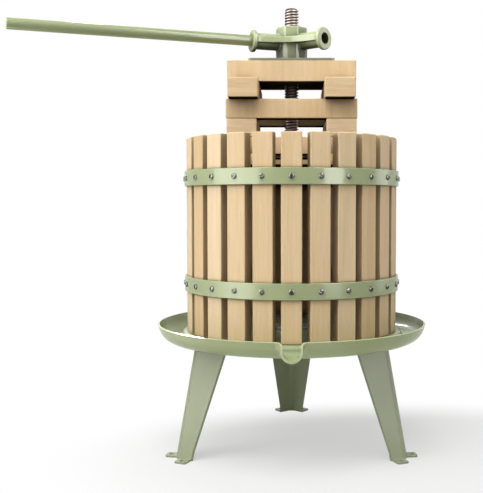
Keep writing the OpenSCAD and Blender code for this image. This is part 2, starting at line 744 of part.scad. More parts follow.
tray();
for (i = [0:len(leg_names) - 1]) leg(i);
leg_bolts();
leg_nuts();
main_screw();
base_washer(platform_z);  // screw_washer_upper
base_nut(platform_z + base_washer_t);  // screw_nut_upper
base_washer(platform_under_z - base_washer_t);  // screw_washer_lower
base_nut(platform_under_z - base_washer_t - base_nut_t);  // screw_nut_lower
for (i = [0:stave_count - 1]) stave(i);
hoop(hoop_low_h);  // hoop_lower
hoop(hoop_high_h);  // hoop_upper
hoop_screws(hoop_low_h);  // hoop_screws_lower
hoop_screws(hoop_high_h);  // hoop_screws_upper
press_disc(-1);  // press_disc_front
press_disc(1);  // press_disc_rear
side_block(-1, low_block_z, low_block_d, low_block_t, block_setback);  // lower_block_left
side_block(1, low_block_z, low_block_d, low_block_t, block_setback);  // lower_block_right
board(-1, low_board_z, low_board_d, low_board_t);  // lower_board_front
board(1, low_board_z, low_board_d, low_board_t);  // lower_board_rear
side_block(-1, mid_block_z, mid_block_d, mid_block_t, block_setback);  // middle_block_left
side_block(1, mid_block_z, mid_block_d, mid_block_t, block_setback);  // middle_block_right
board(-1, mid_board_z, mid_board_d, mid_board_t);  // middle_board_front
board(1, mid_board_z, mid_board_d, mid_board_t);  // middle_board_rear
side_block(-1, top_block_z, top_block_d, top_block_t, top_block_setback);  // upper_block_left
side_block(1, top_block_z, top_block_d, top_block_t, top_block_setback);  // upper_block_right
top_beam();
pressure_plate();
press_nut();
handle_bar();
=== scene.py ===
import math
import random

import bmesh
import bpy
import numpy as np
from mathutils import Matrix, Vector


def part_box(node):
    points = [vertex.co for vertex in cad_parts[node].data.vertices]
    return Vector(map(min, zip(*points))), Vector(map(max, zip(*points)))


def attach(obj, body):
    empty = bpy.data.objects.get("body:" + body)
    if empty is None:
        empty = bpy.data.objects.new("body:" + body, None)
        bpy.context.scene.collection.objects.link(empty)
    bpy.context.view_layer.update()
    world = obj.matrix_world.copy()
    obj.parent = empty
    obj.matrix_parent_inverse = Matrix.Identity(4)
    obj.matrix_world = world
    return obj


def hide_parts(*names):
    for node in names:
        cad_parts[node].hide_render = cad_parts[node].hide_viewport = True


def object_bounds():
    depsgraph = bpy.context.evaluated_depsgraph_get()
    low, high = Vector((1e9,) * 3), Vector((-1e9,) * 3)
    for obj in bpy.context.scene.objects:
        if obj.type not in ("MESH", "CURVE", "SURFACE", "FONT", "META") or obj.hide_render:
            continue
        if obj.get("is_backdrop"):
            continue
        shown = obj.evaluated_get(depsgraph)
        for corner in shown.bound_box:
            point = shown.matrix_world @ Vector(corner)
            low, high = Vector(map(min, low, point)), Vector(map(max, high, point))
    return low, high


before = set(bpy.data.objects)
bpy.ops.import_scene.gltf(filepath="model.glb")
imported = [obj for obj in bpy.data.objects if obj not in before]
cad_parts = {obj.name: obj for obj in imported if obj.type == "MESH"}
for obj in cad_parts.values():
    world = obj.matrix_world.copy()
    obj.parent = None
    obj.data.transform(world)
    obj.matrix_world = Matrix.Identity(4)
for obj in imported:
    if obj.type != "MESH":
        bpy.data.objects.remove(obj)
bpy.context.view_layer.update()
mm = 0.001
one_point = 0.01 * mm  # Vertices nearer to each other than this are merged.


# Camera: a long lens 1.2 m in front of the lead screw, a little over half as high as the press.
# The frame is shifted sideways, so that the bar shows at the left and the screw stands right of the
# middle. The picture is taller than wide, so the lens is reckoned over its height.
photo_w_px, photo_h_px = 483, 493
focal_px = 836.4
screw_column_px = 291.55
camera_back = 1.2135
camera_height = 0.3474
camera_tilt = math.radians(2.928)
camera = bpy.data.objects.new("camera", bpy.data.cameras.new("camera"))
camera.data.lens = camera.data.sensor_width * focal_px / photo_h_px
camera.data.shift_x = (photo_w_px / 2 - screw_column_px) / photo_h_px
camera.location = (0, -camera_back, camera_height)
camera.rotation_euler = (math.pi / 2 - camera_tilt, 0, 0)
bpy.context.scene.collection.objects.link(camera)
bpy.context.scene.camera = camera


# Studio: two soft lamps light the press, one from the left and one from high in front. Five more
# soft boxes only show as reflections in gloss. The floor and the room show white to the camera and
# in reflections, and the floor keeps the press's shadow.
class Signal:
    """An output socket of a node tree. Arithmetic on it adds Math nodes, and node() adds any other."""

    def __init__(self, tree, socket=None):
        self.tree, self.socket = tree, socket

    def node(self, kind, settings=None, sockets=None, out=0):
        """Adds a node, sets its settings and then the values or links of its sockets."""
        made = self.tree.nodes.new("ShaderNode" + kind)
        for name, value in (settings or {}).items():
            if name == "stops":
                ramp = made.color_ramp
                for element, stop in zip(ramp.elements, value):
                    element.position = stop[0]
                for stop in value[2:]:
                    ramp.elements.new(stop[0])
                for element, stop in zip(ramp.elements, value):
                    element.color = (*stop[1], 1)
            else:
                setattr(made, name, value)
        for name, value in (sockets or {}).items():
            if isinstance(value, Signal):
                self.tree.links.new(value.socket, made.inputs[name])
            else:
                made.inputs[name].default_value = value
        return Signal(self.tree, made.outputs[out]) if made.outputs else None

    def math(self, operation, *values):
        return self.node("Math", {"operation": operation}, dict(enumerate(values)))

    def __add__(self, other):
        return self.math("ADD", self, other)

    def __sub__(self, other):
        return self.math("SUBTRACT", self, other)

    def __mul__(self, other):
        return self.math("MULTIPLY", self, other)

    def __rsub__(self, other):
        return self.math("SUBTRACT", other, self)

    __radd__ = __add__

    def above(self, low, high):
        """0 where the value is under low, 1 where it is over high, and smooth between them."""
        return self.node("MapRange", {"interpolation_type": "SMOOTHSTEP"},
                         {"Value": self, 1: low, 2: high})

    def mixed(self, other, share):
        """This colour, mixed with another one by a share."""
        return self.node("Mix", {"data_type": "RGBA"}, {0: share, 6: self, 7: other}, 2)

    def stretched(self, scale):
        """This vector, scaled along each axis."""
        return self.node("VectorMath", {"operation": "MULTIPLY"}, {0: self, 1: scale})

    def noise(self, scale, detail=2, roughness=0.5, distortion=0):
        """Noise at this place, with scale ripples in a metre."""
        return self.node("TexNoise", {}, {"Vector": self, "Scale": scale, "Detail": detail,
                                          "Roughness": roughness, "Distortion": distortion})

    def ramp(self, *stops):
        """A colour for this value. Each stop is a value and a colour as it looks on screen."""
        stops = [(value, colour(*shade)) for value, shade in stops]
        return self.node("ValToRGB", {"stops": stops}, {"Fac": self})


def colour(red, green, blue):
    """A colour as it looks on screen, from 0 to 255, as the linear values that a shader takes."""
    return tuple(((v / 255 + 0.055) / 1.055) ** 2.4 for v in (red, green, blue))


def new_tree(owner):
    """The empty node tree of a material or a world."""
    owner.use_nodes = True
    owner.node_tree.nodes.clear()
    return Signal(owner.node_tree)


def seen_directly(start):
    """1 for rays from the camera and for reflections and refractions, 0 for light on the object."""
    kinds = [start.node("LightPath", out=name) for name in
             ("Is Camera Ray", "Is Glossy Ray", "Is Transmission Ray")]
    return start.math("MINIMUM", kinds[0] + kinds[1] + kinds[2], 1)


horizon_light, zenith_light = 0.3, 0.6
world = bpy.data.worlds.new("studio")
bpy.context.scene.world = world
sky = new_tree(world)
upward = sky.node("SeparateXYZ", {}, {"Vector": sky.node("TexCoord", out="Generated")}, out="Z")
room = horizon_light - sky.math("MAXIMUM", upward, 0) * (horizon_light - zenith_light)
seen = seen_directly(sky)
strength = room * (1 - seen) + seen
backdrop = sky.node("Background", {}, {"Color": (1, 1, 1, 1), "Strength": strength})
sky.node("OutputWorld", {}, {"Surface": backdrop})


def lamp(name, side_turn, rise, distance, width, height, watts,
         lights=True, shows_in_gloss=True, lying=False):
    """A soft box that faces the basket from an angle to the right of the front and a rise, in
    degrees. One that lies on the floor faces up."""
    light = bpy.data.objects.new(name, bpy.data.lights.new(name, "AREA"))
    light.data.shape = "RECTANGLE"
    light.data.size, light.data.size_y = width, height
    light.data.energy = watts
    turn, lift = math.radians(side_turn), math.radians(rise)
    away = Vector((math.sin(turn) * math.cos(lift), -math.cos(turn) * math.cos(lift),
                   math.sin(lift)))
    aim_height = 0.02 if lying else 0.3
    light.location = Vector((0, 0, aim_height)) + away * distance
    light.rotation_euler = (math.pi, 0, -turn) if lying else away.to_track_quat("Z", "Y").to_euler()
    light.visible_camera = False
    light.visible_diffuse, light.visible_glossy = lights, shows_in_gloss
    bpy.context.scene.collection.objects.link(light)


lamp("side_light", -63, 33, 2.2, 1.2, 1.2, 17.5, shows_in_gloss=False)
lamp("high_light", -16, 64, 2.2, 1.2, 1.2, 30, shows_in_gloss=False)
lamp("left_softbox", -58.5, 28, 2.2, 2.4, 3.0, 250, lights=False)
lamp("bright_floor_patch", -58.5, 0, 1.7, 2.4, 1.0, 60, lights=False, lying=True)
lamp("rear_strip", -158, 28, 2.2, 0.14, 0.5, 20, lights=False)
lamp("right_softbox", 43, 28, 2.2, 0.9, 3.0, 140, lights=False)
lamp("edge_softbox", 108, 28, 2.2, 1.0, 3.0, 46, lights=False)

floor_size = 12
floor_seen, floor_glow = colour(163, 163, 163), 0.5
floor_bounce = 0.6
shade_centre, shade_narrowing = (0.16, -0.13, 0), (1, 1.5, 1)
shade_kept, shade_gone = 0.29, 0.52
floor_form = bmesh.new()
bmesh.ops.create_grid(floor_form, x_segments=1, y_segments=1, size=floor_size / 2)
floor_mesh = bpy.data.meshes.new("floor")
floor_form.to_mesh(floor_mesh)
floor = bpy.data.objects.new("floor", floor_mesh)
bpy.context.scene.collection.objects.link(floor)
paper = bpy.data.materials.new("white_paper")
start = new_tree(paper)
seen = seen_directly(start)
position = start.node("TexCoord", out="Object")
from_centre = start.node("VectorMath", {"operation": "DISTANCE"},
                         {0: position.stretched(shade_narrowing), 1: shade_centre}, out="Value")
bounce = start.node("RGB")
bounce.socket.default_value = (floor_bounce, floor_bounce, floor_bounce, 1)
lit = start.node("BsdfDiffuse", {}, {"Color": bounce.mixed((*floor_seen, 1), seen)})
glow = start.node("Emission", {}, {"Color": (1, 1, 1, 1), "Strength": seen * floor_glow})
shadowed = start.node("AddShader", {}, {0: lit, 1: glow})
white = start.node("Emission", {}, {"Color": (1, 1, 1, 1), "Strength": 1})
far = from_centre.above(shade_kept, shade_gone) * seen
faded = start.node("MixShader", {}, {0: far, 1: shadowed, 2: white})
start.node("OutputMaterial", {}, {"Surface": faded})
floor.data.materials.append(paper)
floor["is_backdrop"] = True
bpy.context.scene.view_settings.view_transform = "Standard"


def surface(start, base, roughness, height, depth, **plain):
    """The closing nodes of a finish. base, roughness and the height of its relief may vary over it.
    depth is how deep the relief goes. Further values go to sockets by name."""
    relief = start.node("Bump", {}, {"Height": height, "Distance": depth, "Strength": 1})
    sockets = {"Base Color": base, "Roughness": roughness, "Normal": relief}
    for name, value in plain.items():
        sockets[name.replace("_", " ").title().replace("Ior", "IOR")] = value
    shader = start.node("BsdfPrincipled", {}, sockets)
    start.node("OutputMaterial", {}, {"Surface": shader})


def painted_corner_shade(start, base, reach, painted_shade_colour, from_open, to_closed=0.12):
    """Paints shade into a finish: it darkens to a colour where it lies deep in a corner or a hole.
    reach is how far away another surface may be. The finish is open above from_open and darkest
    under to_closed."""
    openness = start.node("AmbientOcclusion", {"samples": 12}, {"Distance": reach}, out="AO")
    return base.mixed((*colour(*painted_shade_colour), 1), 1 - openness.above(to_closed, from_open))


def gloss_paint(name, grain, depth, light, dark, corner_reach=0, painted_shade_colour=None, shine=0.37):
    """Gloss paint, sage green, cloudy from light to dark. grain is the number of its ripples in a
    metre and depth their height. Shade is painted into its corners, as far as corner_reach and down
    to painted_shade_colour; corner_reach is 0 where none is painted."""
    material = bpy.data.materials.new(name)
    start = new_tree(material)
    place = start.node("TexCoord", out="Object")
    cloud = place.noise(9, 3)
    ripple = place.noise(grain, 2)
    base = cloud.ramp((0.3, dark), (0.7, light))
    if corner_reach:
        base = painted_corner_shade(start, base, corner_reach, painted_shade_colour, from_open=0.97, to_closed=0.32)
    surface(start, base, 0.42 + cloud * 0.1, ripple, depth,
            specular_ior_level=0.12, coat_weight=shine, coat_roughness=0.13)
    return material


def finished(name, form, material, body, node, crease=180):
    """A piece made from a form, riding on a body and standing for a CAD node. It is shaded smooth
    over every edge that turns by less than crease degrees."""
    for edge in form.edges:
        edge.smooth = len(edge.link_faces) < 2 or edge.calc_face_angle() < math.radians(crease)
    mesh = bpy.data.meshes.new(name)
    form.to_mesh(mesh)
    form.free()
    mesh.polygons.foreach_set("use_smooth", [True] * len(mesh.polygons))
    mesh.materials.append(material)
    piece = bpy.data.objects.new(name, mesh)
    bpy.context.scene.collection.objects.link(piece)
    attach(piece, body)
    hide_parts(node)
    return piece


def rounded(piece, width, segments=3, angle=35):
    """Rounds the sharp edges of a piece."""
    bevel = piece.modifiers.new("rounding", "BEVEL")
    bevel.width = width
    bevel.segments = segments
    bevel.angle_limit = math.radians(angle)
    bevel.harden_normals = True
    return piece


tray_low, tray_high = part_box("tray")
sheet = 2.5 * mm
platform_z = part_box("stave_01")[0].z

# Heights and radii of the sheet's middle, half its thickness in from its faces.
rim_drop, spout_fall = 0.2 * mm, 0.5 * mm
rim = Vector((tray_high.x - sheet / 2, tray_high.z - rim_drop))
floor_z = tray_low.z + spout_fall + sheet / 2
platform_bend, channel_bend = 6 * mm, 9 * mm
wall_curve, wall_slope = 24 * mm - sheet / 2, math.radians(72)
wall_top = rim.y - floor_z
wall_flare = wall_top - wall_curve * (1 - math.cos(wall_slope))
landing_r = rim.x - wall_flare / math.tan(wall_slope) - wall_curve * math.sin(wall_slope)
spout_half = 27.7 * mm / 2 - sheet / 2
least_blend, most_blend = 1.85 * mm, 10 * mm + sheet / 2
spout_reach, spout_rake = -tray_low.y, 7.5 * mm
lip_corner = 5 * mm
screw_opening_r = 10.4 * mm


def wall_radius(h):
    """How far the sheet's middle is from the screw's axis, at a height over the channel's floor."""
    if h < wall_top - wall_flare:
        return landing_r + math.sqrt(h * (2 * wall_curve - h))
    return rim.x - (wall_top - h) / math.tan(wall_slope)


def lip_reach(h):
    """How far the lip stands out at a height. Its upper corner is round."""
    into = max(0, (h - wall_top) / lip_corner + 1)
    return spout_reach - spout_rake * h / wall_top - lip_corner * (1 - math.sqrt(1 - into * into))


def spout_line(h, steps):
    """Half of the spout seen from above at a height: from the lip in to the tray's round wall."""
    half = math.sqrt(h * (2 * spout_half - h)) if h < spout_half else spout_half
    blend = min(most_blend, least_blend + 0.8 * h)
    x = half + blend
    y = math.sqrt((wall_radius(h) + blend) ** 2 - x * x)
    swing = math.atan2(x, y)
    turns = [math.pi - (math.pi / 2 - swing) * k / 60 for k in range(61)]
    lip = lip_reach(h)
    line = [(half, -lip + (lip - y) * k / 40) for k in range(40)] if lip > y else []
    line += [(x + blend * math.cos(t), -y + blend * math.sin(t)) for t in turns]

    # Only what lies behind the lip is kept, in steps of one length.
    line = [Vector(p) for p in line if p[1] >= -lip - 1e-9]
    along = np.cumsum([0] + [(q - p).length for p, q in zip(line, line[1:])])
    at = np.linspace(0, along[-1], steps + 1)
    xs, ys = (np.interp(at, along, [p[axis] for p in line]) for axis in (0, 1))
    return list(zip(xs, ys)), swing


def tray_sheet(spout_steps=20, wall_steps=84):
    """The middle of the tray's sheet: wall and spout in level rows, then rings in to the screw."""
    form = bmesh.new()

    # Levels go up the spout's round floor in steps of 9 degrees, and then up its straight sides.
    levels = [spout_half * (1 - math.cos(math.radians(9 * k))) for k in range(11)]
    levels += [spout_half + (wall_top - spout_half) * k / 7 for k in range(1, 8)]
    rows = []
    for h in levels:
        line, swing = spout_line(h, spout_steps)
        turns = [swing + (math.pi - swing) * k / wall_steps for k in range(1, wall_steps + 1)]
        r = wall_radius(h)
        right = line + [(r * math.sin(t), -r * math.cos(t)) for t in turns]
        points = right + [(-x, y) for x, y in right[-2::-1]]
        fall = spout_fall * (1 - h / wall_top) / (spout_reach - landing_r)
        rows.append([form.verts.new((x, y, floor_z + h - fall * max(0, -y - landing_r)))
                     for x, y in points])
    for one, two in zip(rows, rows[1:]):
        for k in range(len(one) - 1):
            form.faces.new((one[k], one[k + 1], two[k + 1], two[k]))

    # The profile goes from the channel's floor over two bends to the platform and in to the screw.
    foot_r = landing_r - 1 * mm
    depth = platform_z - sheet / 2 - floor_z
    bend = math.acos(1 - depth / (platform_bend + channel_bend))
    profile = [(foot_r - channel_bend * math.sin(t), floor_z + channel_bend * (1 - math.cos(t)))
               for t in (bend * k / 8 for k in range(9))]
    flat_r = foot_r - (platform_bend + channel_bend) * math.sin(bend)
    top_z = floor_z + depth
    profile += [(flat_r + platform_bend * math.sin(t), top_z - platform_bend * (1 - math.cos(t)))
                for t in (bend * (1 - k / 6) for k in range(1, 7))]
    profile += [(screw_opening_r + (flat_r - screw_opening_r) * share, top_z)
                for share in (0.75, 0.4, 0)]
    feet = rows[0][spout_steps:len(rows[0]) - spout_steps]
    rings = []
    for foot in feet:
        out = foot.co.xy.normalized()
        rings.append([form.verts.new((out.x * r, out.y * r, z)) for r, z in profile])
    for k, one in enumerate(rings):
        two = rings[(k + 1) % len(rings)]
        if k < len(rings) - 1:
            form.faces.new((feet[k], one[0], two[0], feet[k + 1]))
        for j in range(len(profile) - 1):
            form.faces.new((one[j], one[j + 1], two[j + 1], two[j]))

    # One face joins the channel's floor to the point where the spout's floor begins.
    nearly = 1e-7
    mouth = [v for v in rows[0][:spout_steps + 1] if v.co.x > nearly] + [rings[0][0], rings[-1][0]]
    mouth += [v for v in rows[0][-spout_steps - 1:] if v.co.x < -nearly]
    tongue = max((v for v in rows[0][:spout_steps + 1] if v.co.x <= nearly), key=lambda v: v.co.y)
    form.faces.new([tongue] + mouth)
    bmesh.ops.remove_doubles(form, verts=form.verts, dist=one_point)
    bmesh.ops.recalc_face_normals(form, faces=form.faces)
    return form


# Shade is painted into the tray where other parts stand close over it.
tray_paint = gloss_paint("tray_paint", 420, 0.02 * mm, (178, 188, 142), (167, 177, 130),
                         corner_reach=50 * mm, painted_shade_colour=(116, 126, 96))
juice_tray = finished("juice_tray", tray_sheet(), tray_paint, "stand", "tray")
thickness = juice_tray.modifiers.new("sheet", "SOLIDIFY")
thickness.thickness = sheet
thickness.offset = 0
thickness.use_even_offset = True
rounded(juice_tray, 0.9 * mm, angle=60)


# Legs: three pieces of folded steel sheet, each a flat spine with a flange folded back on each
# side. A tab bent out at each flange's foot takes a floor screw, and the tabs bent in at the top are
# bolted up under the tray's platform. They are painted like the tray.
def copied(node, shortest_edge=0):
    """The form of a CAD node, its flat faces whole again and its shortest edges merged away."""
    form = bmesh.new()
    form.from_mesh(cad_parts[node].data)
    bmesh.ops.remove_doubles(form, verts=form.verts, dist=one_point)
    bmesh.ops.dissolve_limit(form, angle_limit=math.radians(0.6), verts=form.verts,
                             edges=form.edges)
    if shortest_edge:
        bmesh.ops.remove_doubles(form, verts=form.verts, dist=shortest_edge)
        bmesh.ops.dissolve_limit(form, angle_limit=math.radians(2), verts=form.verts,
                                 edges=form.edges)
    bmesh.ops.recalc_face_normals(form, faces=form.faces)
    return form


leg_paint = gloss_paint("leg_paint", 300, 0.03 * mm, (162, 168, 138), (152, 158, 128), shine=0.08)
for name, node in (("rear_leg", "leg_rear"), ("left_leg", "leg_front_left"),
                   ("right_leg", "leg_front_right")):
    leg = finished(name, copied(node, 0.4 * mm), leg_paint, "stand", node)
    rounded(leg, 0.6 * mm, 2)
    leg.modifiers.new("closed_corners", "WELD").merge_threshold = one_point
    leg.modifiers.new("flat_flanges", "WEIGHTED_NORMAL")


# Leg bolts: six domed bolts and six nuts, zinc plated. Each bolt goes through the platform and a
# leg's top tab, with its nut under the tab.
def plated(name, light, dark, roughness, grain, corner_reach):
    """Plated steel with cloudy marks, from light to dark. grain is their number in a metre. Shade
    is painted into its corners and recesses, as far as corner_reach.
    """
    material = bpy.data.materials.new(name)
    start = new_tree(material)
    place = start.node("TexCoord", out="Object")
    cloud = place.noise(grain, 3, 0.6)
    base = cloud.ramp((0.35, dark), (0.65, light))
    base = painted_corner_shade(start, base, corner_reach, (30, 30, 26), from_open=0.9)
    marks = place.noise(grain * 6, 2)
    surface(start, base, roughness + cloud * 0.12, marks, 0.02 * mm, metallic=0.95)
    return material


# Shade is painted where these bolts, nuts and washers lie close to other parts.
bright_zinc = plated("bright_zinc", (190, 188, 182), (150, 148, 142), 0.25, 340, 60 * mm)
for name, node in (("leg_bolt_set", "leg_bolts"), ("leg_nut_set", "leg_nuts")):
    finished(name, copied(node), bright_zinc, "stand", node, crease=30)


# Lead screw: a rolled steel rod with a coarse right-hand trapezoidal thread, 20 mm over its crests.
# It has a painted highlight on the crests and painted shade in the roots.
def lofted(form, rings, hollow=False):
    """Joins rings of points into one solid, with a face over each end unless it is hollow."""
    loops = [[form.verts.new(point) for point in ring] for ring in rings]
    for one, two in zip(loops, loops[1:] + (loops[:1] if hollow else [])):
        for k in range(len(one)):
            form.faces.new((one[k - 1], one[k], two[k], two[k - 1]))
    if not hollow:
        form.faces.new(loops[0][::-1])
        form.faces.new(loops[-1])
    return form


def thread_form(low, high, pitch=4 * mm, crest_r=10 * mm, root_r=7.75 * mm, steps=40):
    """The thread as one long helical strip, cut off flat at both ends. Its profile goes up one
    pitch, from root to crest."""
    profile = [(0, root_r), (0.16, root_r), (0.33, root_r),
               (0.48, crest_r), (0.665, crest_r), (0.85, crest_r)]
    chamfer = 2 * mm
    form = bmesh.new()
    columns = []
    for i in range(int((high - low) / pitch * steps) + 3 * steps):
        turn = 2 * math.pi * i / steps
        column = []
        for share, r in profile:
            z = low + pitch * (i / steps + share - 1.5)
            r = min(r, crest_r - chamfer + max(0, high - z), crest_r - chamfer + max(0, z - low))
            column.append(form.verts.new((r * math.cos(turn), r * math.sin(turn), z)))
        columns.append(column)
    for i, (one, two) in enumerate(zip(columns, columns[1:])):
        closing = [(c[-1], n[0]) for c, n in zip((one, two), columns[i + steps:i + steps + 2])]
        for k in range(len(profile) - 1):
            form.faces.new((one[k], two[k], two[k + 1], one[k + 1]))
        if len(closing) == 2:
            form.faces.new((closing[0][0], closing[1][0], closing[1][1], closing[0][1]))
    for z, up in ((low, -1), (high, 1)):
        parts = form.verts[:] + form.edges[:] + form.faces[:]
        cut = bmesh.ops.bisect_plane(form, geom=parts, plane_co=(0, 0, z), plane_no=(0, 0, up),
                                     clear_outer=True)
        end_edges = [part for part in cut["geom_cut"] if isinstance(part, bmesh.types.BMEdge)]
        bmesh.ops.holes_fill(form, edges=end_edges, sides=0)
    bmesh.ops.remove_doubles(form, verts=form.verts, dist=one_point)
    bmesh.ops.recalc_face_normals(form, faces=form.faces)
    return form


thread_steel = bpy.data.materials.new("thread_steel")
start = new_tree(thread_steel)
place = start.node("TexCoord", out="Object")
level = place.stretched((1, 1, 0))
from_axis = start.node("VectorMath", {"operation": "LENGTH"}, {0: level}, out="Value")
crest = from_axis.above(7.9 * mm, 9.9 * mm)
mark = place.noise(420, 3, 0.6)
# Painted highlight on the crests and painted shade in the roots; more shade is painted where the
# thread lies close to other parts.
base = (crest * 0.85 + mark * 0.15).ramp((0, (50, 39, 33)), (0.5, (88, 72, 62)),
                                         (0.9, (142, 126, 117)))
base = painted_corner_shade(start, base, 60 * mm, (24, 20, 15), from_open=0.65)
surface(start, base, 0.5 - crest * 0.12 + mark * 0.1, mark, 0.03 * mm, metallic=0.4)
screw_low, screw_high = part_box("main_screw")
end_cut = 2.4 * mm
thread = thread_form(screw_low.z, screw_high.z - end_cut)
finished("lead_screw", thread, thread_steel, "stand", "main_screw", crease=25)


# Screw fixing: a large washer and a hexagon nut above the platform, and the same below it, zinc
# plated. They clamp the lead screw to the tray.
def ring_of(r, z, steps=64):
    """A level ring of points. r is a radius, or a function that gives it for an angle."""
    ring = []
    for turn in (2 * math.pi * k / steps for k in range(steps)):
        radius = r(turn) if callable(r) else r
        ring.append((radius * math.cos(turn), radius * math.sin(turn), z))
    return ring


def flat_ring(inner_r, outer_r, low_z, high_z, steps=64):
    """A washer or a band, with square edges."""
    corners = ((inner_r, low_z), (outer_r, low_z), (outer_r, high_z), (inner_r, high_z))
    return lofted(bmesh.new(), [ring_of(r, z, steps) for r, z in corners], True)


def many_sided(across, sides, corner_r):
    """The radius of a nut or hub with flat sides, its corners turned down to a circle."""
    def reach(t):
        half = math.pi / sides
        return min(across / 2 / math.cos((t + half) % (2 * half) - half), corner_r)
    return reach


hole_r = 10.1 * mm
for name, node in (("upper_washer", "screw_washer_upper"), ("lower_washer", "screw_washer_lower")):
    low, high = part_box(node)
    washer = finished(name, flat_ring(hole_r, high.x, low.z, high.z), bright_zinc, "stand", node)
    rounded(washer, 0.4 * mm, 2)
across_flats = 30 * mm
corners_up = ((0, 15), (0.09, 16.4), (0.15, 17.4), (0.85, 17.4), (0.91, 16.4), (1, 15))
for name, node in (("upper_fixing_nut", "screw_nut_upper"),
                   ("lower_fixing_nut", "screw_nut_lower")):
    low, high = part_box(node)
    rings = [ring_of(hole_r, low.z, 96)]
    for share, corner_r in corners_up:
        z = low.z + (high.z - low.z) * share
        rings.append(ring_of(many_sided(across_flats, 6, corner_r * mm), z, 96))
    rings.append(ring_of(hole_r, high.z, 96))
    finished(name, lofted(bmesh.new(), rings, True), bright_zinc, "stand", node, crease=20)


# Staves: planed beech, set upright on the platform with a gap between each two, their outer
# corners rounded over a little. Each has its own tone and grain.
def beech(name, scale, shine, corner_reach, painted_shade_colour, openness, painted_underside_shade=0,
          light=(244, 219, 180), dark=(223, 192, 146)):
    """Planed beech. scale stretches its fibres, one number for each axis. Shade is painted into its
    corners, down to painted_shade_colour, and painted_underside_shade is how much shade is painted
    on its undersides, from 0 to 1."""
    material = bpy.data.materials.new(name)
    start = new_tree(material)
    tone = start.node("Attribute", {"attribute_name": "tone"}, out="Fac")
    shift = start.node("CombineXYZ", {}, {"X": tone * 7.3, "Y": tone * 3.1, "Z": tone * 5.7})
    place = start.node("TexCoord", out="Object")
    place = start.node("VectorMath", {"operation": "ADD"}, {0: place, 1: shift})
    along = place.stretched(scale)
    fibre = along.noise(900, 3, 0.6)
    band = along.noise(110, 2, 0.5, 0.6)
    broad = along.noise(24, 1)
    shade = fibre * 0.34 + band * 0.38 + broad * 0.28 + tone * 0.22 - 0.11
    base = shade.ramp((0.3, dark), (0.7, light))
    fleck = place.stretched([3.2 if s == 1 else 0.5 for s in scale]).noise(260, 1).above(0.66, 0.74)
    base = base.mixed((*colour(176, 136, 92), 1), fleck * 0.16)
    base = painted_corner_shade(start, base, corner_reach, painted_shade_colour, *openness)
    # Painted shade: faces that look down darken towards painted_shade_colour.
    if painted_underside_shade:
        normal = start.node("NewGeometry", out="Normal")
        upward = start.node("SeparateXYZ", {}, {"Vector": normal}, out="Z")
        base = base.mixed((*colour(*painted_shade_colour), 1), (1 - upward.above(-0.95, -0.7)) * painted_underside_shade)
    surface(start, base, 0.5 + fibre * 0.16, fibre, 0.06 * mm, specular_ior_level=shine)
    return material


def block_form(size):
    """A block of wood round the origin, sawn square."""
    form = bmesh.new()
    bmesh.ops.create_cube(form, size=1, matrix=Matrix.Diagonal((*size, 1)))
    return form


def toned(piece, tone):
    """Gives a wooden piece its own tone, from 0 to 1."""
    values = piece.data.attributes.new("tone", "FLOAT", "POINT")
    values.data.foreach_set("value", [tone] * len(piece.data.vertices))
    return piece


stave_count = 25


def at_stave(i):
    """Turns what is drawn at the front stave to another one."""
    return Matrix.Rotation(2 * math.pi * i / stave_count, 4, "Z")


# Shade is painted under the hoops and into the gaps between the staves.
stave_wood = beech("stave_beech", (1, 1, 0.035), 0.05, 22 * mm, (165, 142, 110), (0.98, 0.5))
first_low, first_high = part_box("stave_01")
stave_size = first_high - first_low
stave_mid_r = -(first_low.y + first_high.y) / 2
stave_mid_z = (first_low.z + first_high.z) / 2
wood = random.Random(7)
for i in range(stave_count):
    form = block_form(stave_size)
    form.transform(at_stave(i) @ Matrix.Translation((0, -stave_mid_r, stave_mid_z)))
    stave = finished(f"beech_stave_{i + 1:02d}", form, stave_wood, "stand", f"stave_{i + 1:02d}")
    rounded(toned(stave, wood.random()), 1.5 * mm)


# Hoops: two flat bands of 3 mm steel, bent to a circle round the staves and closed, and painted
# the tray's green.
hoop_paint = gloss_paint("hoop_paint", 420, 0.02 * mm, (163, 173, 128), (152, 162, 116))
hoop_sheet = 3 * mm
for name, node in (("lower_hoop", "hoop_lower"), ("upper_hoop", "hoop_upper")):
    low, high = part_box(node)
    band = flat_ring(high.y - hoop_sheet, high.y, low.z, high.z, 256)
    rounded(finished(name, band, hoop_paint, "stand", node), 0.7 * mm)


